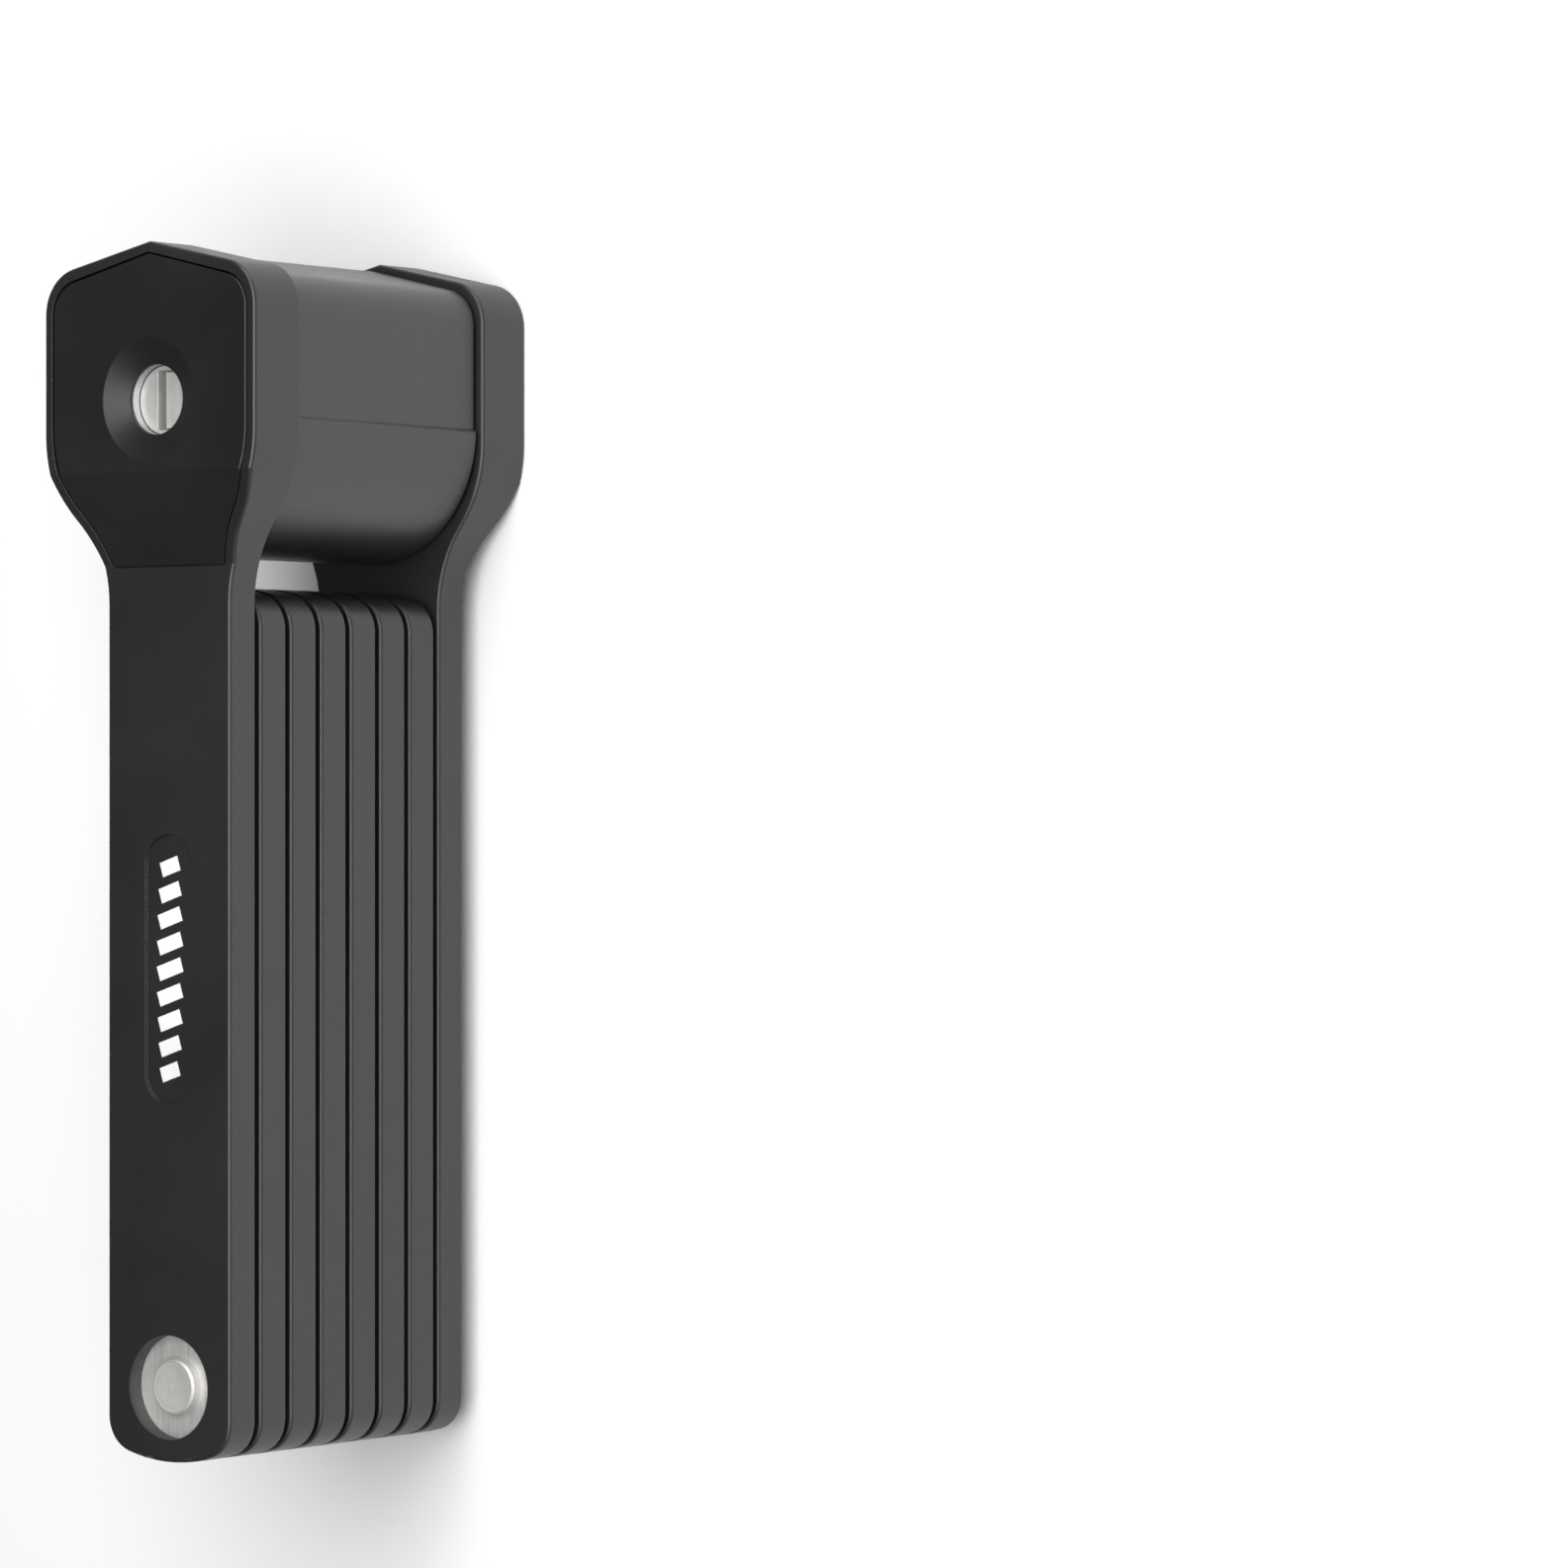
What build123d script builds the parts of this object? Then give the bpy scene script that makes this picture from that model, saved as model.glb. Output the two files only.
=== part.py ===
"""Folding bike lock, lying on the outer face of its rear head.

Eight steel bars in plastic jackets are riveted end to end and fold into one stack.
The front arm carries the lock body with its key cylinder, and the rear arm carries
the stud that the lock body holds. Z is the axis of the cylinder and of every rivet,
X runs along the folded bars towards the lock body, and Y points to the stud's slot.
"""

import os
from math import sqrt

from build123d import *

os.makedirs("parts", exist_ok=True)

# Bars and stack (mm)
arm_reach = 150.0  # lock axis to the rivet of each long arm
top_setback = 39.6  # lock axis to the upper row of rivets
end_margin = 11.4  # rivet to the end of its bar
peak_reach = 23.9  # lock axis to the tip of the head
link_count = 6
bar_width = 25.0
bar_thick = 5.9
bar_gap = 1.1
bar_crown = 2.7  # bulge of the bar's rounded end
bar_corner = 5.5
bar_edge = 0.55  # rounding along a bar's edges
jacket_skin = 1.0  # jacket over the flat faces of the steel plate
jacket_wall = 1.3  # jacket over the plate's edges

# Heads
head_raise = 4.5
head_width = 43.0
head_flank_end = 19.2  # lock axis to the corner where the roof starts
head_flank_start = -5.0
head_neck = -31.0  # where the head has narrowed to the bar
head_corner = 7.0
slope_top = -11.0  # lock axis to the ends of the slope down to the bar
slope_foot = -25.0
cover_margin = 1.6
cover_foot = -25.3
cover_thick = 2.4
cover_tip = 0.5  # cover's thickness at its foot
cover_seam = 0.25
cover_edge = 0.3

# Rivets, pockets and washers
pocket_radius = 7.95
pocket_depth = 2.6
pocket_lining = 0.7  # jacket round a pocket's wall
rivet_shank = 3.0
rivet_head = 4.3
rivet_sunk = 0.85  # rivet's end below the bar's face
rivet_bevel = 0.35
run_clear = 0.05
slide_clear = 0.1
washer_radius = 8.0
label_length = 41.0
label_width = 9.5
label_depth = 0.4
label_shift = -17.7  # middle of the front arm's label recess

# Lock body between the heads
body_clear = 0.3  # lock body above the rear arm
cap_half = 20.2
cap_inset = 1.2  # cap's roof inside the head's
cap_corner = 6.0
round_radius = 20.7
seam_back = 3.0  # seam behind the lock axis
seam_groove = 0.45
body_rim = 0.3
body_edge = 0.5

# Slot and stud
stud_head = 6.0
stud_neck = 3.9
stud_rise = 10.8  # stud's top above the rear arm
stud_flange = 7.4
stud_flange_thick = 2.6
stud_bevel = 0.6
stud_gap = 0.2  # stud's head above the hooks
bolt_pocket_clear = 0.3
bolt_pocket_spare = 0.5
hook_thick = 5.2
slot_clear = 0.3
slot_height = 5.8
insert_roof = 2.3
insert_front = 9.2  # lock axis to the insert's side walls and back
insert_rear = 15.6
insert_back = 9.0
insert_sunk = 0.5  # insert's face below the lock body's flank

# Key cylinder
plug_radius = 5.25
keyway_wide = 3.2
keyway_tall = 9.2
keyway_deep = 20.5
keyway_corner = 0.5
shutter_wide = 2.2
shutter_thick = 1.2
shutter_sunk = 0.7  # shutter below the plug's face
funnel_radius = 9.35
funnel_depth = 1.8
funnel_hole = plug_radius + slide_clear
plug_sunk = 3.9  # plug's face below the head's
barrel_radius = 9.5
barrel_length = 20.0
sleeve_thick = 0.5
guard_thick = 3.0
groove_radius = 4.2
spring_radius = 1.25
spring_wall = 0.35
tumbler_count = 5
tumbler_pitch = 3.6
tumbler_radius = 1.45
tumbler_first = 3.2  # front of the barrel to the first tumbler
key_pin_tip = 0.8
driver_length = 2.3
clip_radius = 7.0
clip_thick = 0.9
tail_wide = 2.0
tail_long = 6.0
tail_deep = 1.8

# Bolt and its drive
bolt_tip = 2.5
bolt_shank = 3.5
bolt_travel = 5.0
bolt_rest = 0.3  # retracted bolt above the slot
shank_length = 3.4
shank_spare = 1.5  # extended shank above the slot insert
cross_radius = 1.0
cross_half = 7.0
cam_rim = 0.25  # cam past the plug's radius
cam_radius = plug_radius + cam_rim
cam_bore = 3.6
cam_lead = 4 * bolt_travel  # a quarter turn moves the bolt its full travel
cam_over = 16.0  # degrees of slot past each end of the travel
guide_radius = 8.0
drive_slot = 2.3

# Screws
screw_radius = 1.6
screw_head = 2.8
screw_head_tall = 2.5
screw_bite = 4.4  # thread above the lock body
socket_wide = 2.5
socket_deep = 1.4
screw_places = [(14.0, 13.0), (14.0, -13.0), (-13.5, -12.5), (-19.4, 0.0)]

# Places along the bars
total_length = end_margin + arm_reach + peak_reach
x_low = end_margin - total_length / 2
x_lock = x_low + arm_reach
x_top = x_lock - top_setback
bar_half = bar_width / 2
head_half = head_width / 2

# Heights in the stack
pitch = bar_thick + bar_gap
layer_count = link_count + 2
core_thick = bar_thick - 2 * jacket_skin
rear_face = head_raise + bar_thick
front_inner = head_raise + (layer_count - 1) * pitch
front_bar = front_inner + bar_thick
front_face = front_bar + head_raise
body_low = rear_face + body_clear
hook_top = body_low + hook_thick
slot_top = hook_top + slot_height
insert_top = slot_top + insert_roof
plug_face = front_face - plug_sunk
guard_top = front_face - cover_thick
guard_low = guard_top - guard_thick
barrel_low = guard_low - barrel_length
plug_low = barrel_low - 2 * clip_thick
cam_top = plug_low
bolt_low = slot_top + bolt_rest
shank_low = insert_top + bolt_travel + shank_spare
cross_height = shank_low + shank_length / 2
bolt_top = shank_low + shank_length
cam_floor = bolt_top + bolt_rest
cam_foot = insert_top + slide_clear
guide_top = barrel_low - clip_thick - 2 * slide_clear
stud_top = rear_face + stud_rise
stud_shoulder = hook_top + stud_gap


def layer_height(layer):
    """Lower face of a bar, counted up from the rear arm."""
    return head_raise + layer * pitch


def bar_outline(low, high, half, crown, corner):
    """Plan of a bar: straight flanks, bulged ends, rounded corners."""
    with BuildSketch(mode=Mode.PRIVATE) as outline:
        with BuildLine():
            ThreePointArc((low + crown, half), (low, 0), (low + crown, -half))
            Line((low + crown, -half), (high - crown, -half))
            ThreePointArc((high - crown, -half), (high, 0), (high - crown, half))
            Line((high - crown, half), (low + crown, half))
        make_face()
        fillet(outline.vertices(), corner)
    return outline.sketch


def arm_outline(inset, corner):
    """Plan of a long arm with its head, drawn in from the outer edge by inset."""
    low = x_low - end_margin + inset
    half = bar_half - inset
    wide = head_half - inset
    neck = x_lock + head_neck + inset / 2
    flank = x_lock + head_flank_start + inset / 2
    shoulder = x_lock + head_flank_end - inset
    peak = x_lock + peak_reach - inset
    crown = bar_crown
    middle = (neck + flank) / 2
    waist = (half + wide) / 2
    with BuildSketch(mode=Mode.PRIVATE) as outline:
        with BuildLine():
            for side in (1, -1):
                Line((low + crown, side * half), (neck, side * half))
                TangentArc((neck, side * half), (middle, side * waist), tangent=(1, 0))
                TangentArc((flank, side * wide), (middle, side * waist), tangent=(-1, 0))
                Line((flank, side * wide), (shoulder, side * wide))
                Line((shoulder, side * wide), (peak, 0))
            ThreePointArc((low + crown, half), (low, 0), (low + crown, -half))
        make_face()
        ends = outline.vertices().group_by(Axis.X)
        fillet(ends[0], min(corner, bar_corner))
        fillet(outline.vertices().group_by(Axis.X)[-2], corner)
    return outline.sketch


def head_side(foot, lift):
    """Side view of what lies outside an arm: above its bar, its slope and its head."""
    left = x_low - 2 * end_margin
    right = x_lock + 2 * peak_reach
    with BuildSketch(Plane.XZ, mode=Mode.PRIVATE) as outside:
        with BuildLine():
            Polyline(
                (left, front_bar),
                (x_lock + foot, front_bar),
                (x_lock + slope_top, front_face),
                (right, front_face),
                (right, front_face + lift),
                (left, front_face + lift),
                close=True,
            )
        make_face()
    return outside.sketch


def body_outline(inset):
    """Plan of the lock body: flat cap ahead of the seam, round housing behind it."""
    seam = x_lock - seam_back
    shoulder = x_lock + head_flank_end - cap_inset - inset
    peak = x_lock + peak_reach - cap_inset - inset
    half = cap_half - inset
    with BuildSketch(mode=Mode.PRIVATE) as cap:
        with BuildLine():
            Polyline(
                (seam, -half),
                (shoulder, -half),
                (peak, 0),
                (shoulder, half),
                (seam, half),
                close=True,
            )
        make_face()
        fillet(cap.vertices().group_by(Axis.X)[1], cap_corner - inset)
    with BuildSketch(mode=Mode.PRIVATE) as round_part:
        with Locations((seam, 0)):
            Circle(round_radius - inset)
        with Locations((seam + round_radius, 0)):
            Rectangle(2 * round_radius, 3 * round_radius, mode=Mode.SUBTRACT)
    return cap.sketch, round_part.sketch


def slot_outline(radius):
    """Plan of the way a round of this radius takes to leave the lock body.

    The stud comes straight out on the low rivets, or on an arc about the top ones.
    """
    reach = radius + slot_clear
    mouth = 1.2 * round_radius
    arc_radius = top_setback - reach
    arc_end = x_top + sqrt(arc_radius**2 - mouth**2)
    arc_middle = x_top + sqrt(arc_radius**2 - (mouth / 2) ** 2)
    with BuildSketch(mode=Mode.PRIVATE) as way:
        with BuildLine():
            ThreePointArc((x_lock - reach, 0), (x_lock, -reach), (x_lock + reach, 0))
            Line((x_lock + reach, 0), (x_lock + reach, mouth))
            Line((x_lock + reach, mouth), (arc_end, mouth))
            ThreePointArc((arc_end, mouth), (arc_middle, mouth / 2), (x_lock - reach, 0))
        make_face()
    return way.sketch


def finish(piece, name):
    """Label a finished piece and write it."""
    piece.part.label = name
    export_step(piece.part, f"parts/{name}.step")


cap_plan, round_plan = body_outline(0)
screw_points = [(x_lock + x, y) for x, y in screw_places]
barrel_bore = barrel_radius + sleeve_thick
turned_over = Plane.XY.offset(front_face / 2)
lock_axis = (x_lock, 0)


def round_bar(radius, low, high, centre=lock_axis):
    """Upright cylinder between two heights, for adding to or cutting from a piece."""
    with BuildPart(mode=Mode.PRIVATE) as bar:
        with BuildSketch(Plane.XY.offset(low)):
            with Locations(centre):
                Circle(radius)
        extrude(amount=high - low)
    return bar.part


def label_recess(centre_x, face, depth):
    """Long rounded recess sunk into a bar's face."""
    with BuildPart(mode=Mode.PRIVATE) as recess:
        with BuildSketch(Plane.XY.offset(face)):
            with Locations((centre_x, 0)):
                SlotOverall(label_length, label_width)
        extrude(amount=-depth)
    return recess.part


def rivet_place(number):
    """Place along the bars of a rivet, counted from the front arm."""
    return x_low if number % 2 else x_top


# ---------------------------------------------------------------- arms
# Both arms are drawn as the front one. The rear arm is the same piece turned over.
pocket_floor = front_bar - pocket_depth
lined_radius = pocket_radius + pocket_lining

with BuildPart() as arm_plate:
    with BuildSketch(Plane.XY.offset(front_inner + jacket_skin)):
        add(arm_outline(jacket_wall, head_corner - jacket_wall))
    extrude(amount=core_thick)
    add(round_bar(lined_radius, pocket_floor, front_face, (x_low, 0)), mode=Mode.SUBTRACT)

with BuildPart() as arm_skin:
    with BuildSketch(Plane.XY.offset(front_inner)):
        add(arm_outline(0, head_corner))
    extrude(amount=front_face - front_inner)
    extrude(head_side(slope_foot, head_raise), head_width, both=True, mode=Mode.SUBTRACT)
    upper = arm_skin.edges().filter_by(lambda edge: edge.bounding_box().min.Z > front_bar - 0.01)
    fillet(upper.filter_by(lambda edge: edge.bounding_box().size.Y < head_width - 5), bar_edge)
    fillet(arm_skin.faces().sort_by(Axis.Z)[0].edges(), bar_edge)

with BuildPart() as cover_hollow:
    with BuildSketch(Plane.XY.offset(front_inner)):
        add(arm_outline(cover_margin, head_corner - cover_margin))
        with Locations((x_lock + cover_foot - total_length, 0)):
            Rectangle(2 * total_length, head_width, mode=Mode.SUBTRACT)
    extrude(amount=front_face - front_inner)
    with BuildSketch(Plane.XZ) as beneath:
        with BuildLine():
            Polyline(
                (x_lock + cover_foot, front_bar - cover_tip),
                (x_lock + slope_top, front_face - cover_thick),
                (x_lock + 2 * peak_reach, front_face - cover_thick),
                (x_lock + 2 * peak_reach, 0),
                (x_lock + cover_foot, 0),
                close=True,
            )
        make_face()
    extrude(amount=head_width, both=True, mode=Mode.SUBTRACT)

with BuildPart() as cover_blank:
    with BuildSketch(Plane.XY.offset(front_inner)):
        add(arm_outline(cover_margin + cover_seam, head_corner - cover_margin - cover_seam))
        with Locations((x_lock + cover_foot + cover_seam - total_length, 0)):
            Rectangle(2 * total_length, head_width, mode=Mode.SUBTRACT)
    extrude(amount=front_face - front_inner)
    add(cover_hollow.part, mode=Mode.INTERSECT)
    extrude(head_side(slope_foot, head_raise), head_width, both=True, mode=Mode.SUBTRACT)
    rim = cover_blank.edges().filter_by(lambda edge: edge.bounding_box().min.Z > front_face - 0.01)
    fillet(rim.filter_by(lambda edge: edge.center().X > x_lock + slope_top + 1), cover_edge)

# ---------------------------------------------------------------- front arm
with BuildPart() as front_arm_core:
    add(arm_plate.part)
    add(round_bar(barrel_bore, front_inner, front_face), mode=Mode.SUBTRACT)
    add(round_bar(rivet_shank, front_inner, front_face, (x_low, 0)), mode=Mode.SUBTRACT)
    with BuildSketch(Plane.XY.offset(front_inner)):
        with Locations(*screw_points):
            Circle(screw_radius)
    extrude(amount=screw_bite, mode=Mode.SUBTRACT)
finish(front_arm_core, "front_arm_core")

with BuildPart() as front_arm_jacket:
    add(arm_skin.part)
    add(arm_plate.part, mode=Mode.SUBTRACT)
    add(cover_hollow.part, mode=Mode.SUBTRACT)
    add(round_bar(barrel_bore, front_inner, front_face), mode=Mode.SUBTRACT)
    add(round_bar(rivet_shank, front_inner, front_face, (x_low, 0)), mode=Mode.SUBTRACT)
    add(round_bar(pocket_radius, pocket_floor, front_face, (x_low, 0)), mode=Mode.SUBTRACT)
    add(label_recess(label_shift, front_bar, label_depth), mode=Mode.SUBTRACT)
    with BuildSketch(Plane.XY.offset(front_inner)):
        with Locations(*screw_points):
            Circle(screw_radius)
    extrude(amount=jacket_skin, mode=Mode.SUBTRACT)
finish(front_arm_jacket, "front_arm_jacket")

with BuildPart() as front_cover:
    add(cover_blank.part)
    add(round_bar(funnel_hole, front_inner, front_face), mode=Mode.SUBTRACT)
    with BuildSketch(Plane.XY.offset(front_face)):
        with Locations(lock_axis):
            Circle(funnel_radius)
    with BuildSketch(Plane.XY.offset(front_face - funnel_depth)):
        with Locations(lock_axis):
            Circle(funnel_hole)
    loft(mode=Mode.SUBTRACT)
finish(front_cover, "front_cover")

# ---------------------------------------------------------------- rear arm
with BuildPart() as rear_arm_core:
    add(mirror(arm_plate.part, about=turned_over, mode=Mode.PRIVATE))
    add(round_bar(stud_neck, 0, rear_face), mode=Mode.SUBTRACT)
    add(round_bar(rivet_shank + run_clear, 0, rear_face, (x_low, 0)), mode=Mode.SUBTRACT)
finish(rear_arm_core, "rear_arm_core")

flange_top = rear_face - jacket_skin - core_thick
with BuildPart() as rear_arm_jacket:
    add(mirror(arm_skin.part, about=turned_over, mode=Mode.PRIVATE))
    add(mirror(arm_plate.part, about=turned_over, mode=Mode.PRIVATE), mode=Mode.SUBTRACT)
    add(mirror(cover_hollow.part, about=turned_over, mode=Mode.PRIVATE), mode=Mode.SUBTRACT)
    add(round_bar(stud_neck, 0, rear_face), mode=Mode.SUBTRACT)
    add(round_bar(stud_flange, 0, flange_top), mode=Mode.SUBTRACT)
    add(round_bar(rivet_shank + run_clear, 0, rear_face, (x_low, 0)), mode=Mode.SUBTRACT)
    add(round_bar(pocket_radius, 0, head_raise + pocket_depth, (x_low, 0)), mode=Mode.SUBTRACT)
    add(label_recess(label_shift, head_raise, -label_depth), mode=Mode.SUBTRACT)
finish(rear_arm_jacket, "rear_arm_jacket")

with BuildPart() as rear_cover:
    add(mirror(cover_blank.part, about=turned_over, mode=Mode.PRIVATE))
finish(rear_cover, "rear_cover")

bolt_pocket_floor = bolt_low - bolt_travel - bolt_pocket_spare
with BuildPart() as latch_stud:
    add(round_bar(stud_flange, flange_top - stud_flange_thick, flange_top))
    add(round_bar(stud_neck, flange_top, stud_shoulder))
    add(round_bar(stud_head, stud_shoulder, stud_top))
    chamfer(latch_stud.edges().group_by(Axis.Z)[-1], stud_bevel)
    bolt_pocket = bolt_tip + bolt_pocket_clear
    add(round_bar(bolt_pocket, bolt_pocket_floor, stud_top), mode=Mode.SUBTRACT)
finish(latch_stud, "latch_stud")

# ---------------------------------------------------------------- links
link_low = x_low - end_margin
link_high = x_top + end_margin
for number in range(1, link_count + 1):
    lower = layer_height(link_count - number + 1)
    upper = lower + bar_thick
    here = (rivet_place(number), 0)
    onward = (rivet_place(number + 1), 0)

    with BuildPart() as link_plate:
        with BuildSketch(Plane.XY.offset(lower + jacket_skin)):
            inset_ends = (link_low + jacket_wall, link_high - jacket_wall)
            plate_corner = bar_corner - jacket_wall
            add(bar_outline(*inset_ends, bar_half - jacket_wall, bar_crown, plate_corner))
        extrude(amount=core_thick)
        add(round_bar(lined_radius, lower, lower + pocket_depth, here), mode=Mode.SUBTRACT)
        add(round_bar(lined_radius, upper - pocket_depth, upper, onward), mode=Mode.SUBTRACT)

    with BuildPart() as link_cuts:
        add(round_bar(rivet_shank + run_clear, lower, upper, here))
        add(round_bar(pocket_radius, lower, lower + pocket_depth, here))
        add(round_bar(rivet_shank, lower, upper, onward))
        add(round_bar(pocket_radius, upper - pocket_depth, upper, onward))

    with BuildPart() as link_core:
        add(link_plate.part)
        add(link_cuts.part, mode=Mode.SUBTRACT)
    finish(link_core, f"link_{number}_core")

    with BuildPart() as link_jacket:
        with BuildSketch(Plane.XY.offset(lower)):
            add(bar_outline(link_low, link_high, bar_half, bar_crown, bar_corner))
        extrude(amount=bar_thick)
        fillet(link_jacket.edges().filter_by(Axis.Z, reverse=True), bar_edge)
        add(link_plate.part, mode=Mode.SUBTRACT)
        add(link_cuts.part, mode=Mode.SUBTRACT)
        add(label_recess((x_low + x_top) / 2, upper, label_depth), mode=Mode.SUBTRACT)
    finish(link_jacket, f"link_{number}_jacket")

# ---------------------------------------------------------------- rivets and washers
for number in range(1, link_count + 2):
    above = layer_height(layer_count - number)
    below = above - pitch
    centre = (rivet_place(number), 0)
    head_seat = above + bar_thick - pocket_depth
    tail_seat = below + pocket_depth - run_clear
    head_end = above + bar_thick - rivet_sunk
    tail_end = below + rivet_sunk

    with BuildPart() as rivet:
        add(round_bar(rivet_head, head_seat, head_end, centre))
        add(round_bar(rivet_shank, tail_seat, head_seat, centre))
        add(round_bar(rivet_head, tail_end, tail_seat, centre))
        ends = rivet.edges().group_by(Axis.Z)
        chamfer(ends[0] + ends[-1], rivet_bevel)
    finish(rivet, f"rivet_{number}")

    washer_low = below + bar_thick
    washer_high = above - run_clear
    with BuildPart() as washer:
        add(round_bar(washer_radius, washer_low, washer_high, centre))
        bore = rivet_shank + run_clear
        add(round_bar(bore, washer_low, washer_high, centre), mode=Mode.SUBTRACT)
    finish(washer, f"washer_{number}")

# ---------------------------------------------------------------- lock body
with BuildPart() as insert_block:
    with BuildSketch(Plane.XY.offset(body_low)):
        with BuildLine():
            reach = 1.5 * round_radius
            Polyline(
                (x_lock - insert_rear, -insert_back),
                (x_lock + insert_front, -insert_back),
                (x_lock + insert_front, reach),
                (x_lock - insert_rear, reach),
                close=True,
            )
        make_face()
    extrude(amount=insert_top - body_low)

with BuildPart() as body_hollow:
    add(round_bar(barrel_bore, barrel_low, front_inner))
    add(round_bar(guide_radius, insert_top, barrel_low))
    add(insert_block.part)
    for point in screw_points:
        add(round_bar(screw_radius, body_low, front_inner, point))
        add(round_bar(screw_head, body_low, body_low + screw_head_tall, point))

with BuildPart() as housing_cap:
    with BuildSketch(Plane.XY.offset(body_low)):
        add(cap_plan)
    extrude(amount=front_inner - body_low)
    outer = housing_cap.edges().filter_by(lambda edge: edge.center().X > x_lock - seam_back + 0.01)
    chamfer(outer.group_by(Axis.Z)[0], body_edge)
    chamfer(outer.group_by(Axis.Z)[-1], body_rim)
    add(body_hollow.part, mode=Mode.SUBTRACT)
finish(housing_cap, "housing_cap")

with BuildPart() as housing_round:
    with BuildSketch(Plane.XY.offset(body_low)):
        add(round_plan)
    extrude(amount=front_inner - body_low)
    rims = housing_round.edges().filter_by(GeomType.CIRCLE).sort_by(Axis.Z)
    chamfer(rims[0], body_edge)
    chamfer(rims[-1], body_rim)
    chamfer(housing_round.edges().filter_by(Axis.Z), seam_groove)
    add(body_hollow.part, mode=Mode.SUBTRACT)
finish(housing_round, "housing_round")

insert_cap, insert_round = body_outline(insert_sunk)
with BuildPart() as slot_insert:
    with BuildSketch(Plane.XY.offset(body_low)):
        add(insert_cap)
        add(insert_round)
    extrude(amount=insert_top - body_low)
    add(insert_block.part, mode=Mode.INTERSECT)
    with BuildSketch(Plane.XY.offset(body_low)):
        add(slot_outline(stud_neck))
    extrude(amount=hook_thick, mode=Mode.SUBTRACT)
    with BuildSketch(Plane.XY.offset(hook_top)):
        add(slot_outline(stud_head))
    extrude(amount=slot_height, mode=Mode.SUBTRACT)
    add(round_bar(bolt_tip + run_clear, slot_top, insert_top), mode=Mode.SUBTRACT)
finish(slot_insert, "slot_insert")

with BuildPart() as housing_screws:
    for point in screw_points:
        add(round_bar(screw_head, body_low, body_low + screw_head_tall, point))
        add(round_bar(screw_radius, body_low, front_inner + screw_bite, point))
    with BuildSketch(Plane.XY.offset(body_low)):
        with Locations(*screw_points):
            RegularPolygon(socket_wide / 2, 6, major_radius=False)
    extrude(amount=socket_deep, mode=Mode.SUBTRACT)
finish(housing_screws, "housing_screws")

# ---------------------------------------------------------------- key cylinder
barrel_top = barrel_low + barrel_length
tumbler_heights = [barrel_top - tumbler_first - tumbler_pitch * i for i in range(tumbler_count)]
key_pin_end = sqrt(plug_radius**2 - tumbler_radius**2)
driver_start = plug_radius + 2 * run_clear
driver_end = driver_start + driver_length
spring_end = sqrt(barrel_radius**2 - spring_radius**2)


def tumbler_row(radius, start, end):
    """Row of rounds that lie along X, one at each tumbler height."""
    with BuildPart(mode=Mode.PRIVATE) as row:
        with BuildSketch(Plane.YZ.offset(x_lock + start)):
            with Locations(*[(0, height) for height in tumbler_heights]):
                Circle(radius)
        extrude(amount=end - start)
    return row.part


with BuildPart() as cylinder_barrel:
    add(round_bar(barrel_radius, barrel_low, barrel_top))
    add(round_bar(plug_radius + run_clear, barrel_low, barrel_top), mode=Mode.SUBTRACT)
    add(tumbler_row(tumbler_radius, 0, 2 * barrel_radius), mode=Mode.SUBTRACT)
finish(cylinder_barrel, "cylinder_barrel")

with BuildPart() as barrel_sleeve:
    add(round_bar(barrel_bore, barrel_low, barrel_top))
    add(round_bar(barrel_radius, barrel_low, barrel_top), mode=Mode.SUBTRACT)
finish(barrel_sleeve, "barrel_sleeve")

with BuildPart() as drill_guard:
    add(round_bar(barrel_bore, guard_low, guard_top))
    add(round_bar(funnel_hole, guard_low, guard_top), mode=Mode.SUBTRACT)
finish(drill_guard, "drill_guard")

with BuildPart() as driver_pins:
    add(tumbler_row(tumbler_radius, driver_start, driver_end))
finish(driver_pins, "driver_pins")

with BuildPart() as pin_springs:
    add(tumbler_row(spring_radius, driver_end, spring_end))
    inside = tumbler_row(spring_radius - spring_wall, driver_end, spring_end)
    add(inside, mode=Mode.SUBTRACT)
finish(pin_springs, "pin_springs")

clip_top = barrel_low - run_clear
clip_low = clip_top - clip_thick
with BuildPart() as key_plug:
    add(round_bar(plug_radius, plug_low, plug_face))
    add(round_bar(plug_radius, clip_low, clip_top), mode=Mode.SUBTRACT)
    add(round_bar(groove_radius, clip_low, clip_top))
    with BuildSketch(Plane.XY.offset(plug_low)):
        with Locations(lock_axis):
            Rectangle(tail_long, tail_wide)
    extrude(amount=-tail_deep)
    with BuildSketch(Plane.XY.offset(plug_face)):
        with Locations(lock_axis):
            RectangleRounded(keyway_tall, keyway_wide, keyway_corner)
    extrude(amount=-keyway_deep, mode=Mode.SUBTRACT)
    add(tumbler_row(tumbler_radius, 0, 2 * plug_radius), mode=Mode.SUBTRACT)
finish(key_plug, "key_plug")

shutter_top = plug_face - shutter_sunk
shutter_tall = keyway_tall - keyway_corner - 2 * slide_clear
with BuildPart() as dust_shutter:
    with BuildSketch(Plane.XY.offset(shutter_top)):
        with Locations((x_lock, (shutter_wide - keyway_wide) / 2)):
            Rectangle(shutter_tall, shutter_wide - 2 * slide_clear)
    extrude(amount=-shutter_thick)
finish(dust_shutter, "dust_shutter")

with BuildPart() as key_pins:
    add(tumbler_row(tumbler_radius, key_pin_tip, key_pin_end))
finish(key_pins, "key_pins")

with BuildPart() as retaining_clip:
    add(round_bar(clip_radius, clip_low, clip_top))
    add(round_bar(groove_radius, clip_low, clip_top), mode=Mode.SUBTRACT)
finish(retaining_clip, "retaining_clip")

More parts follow.
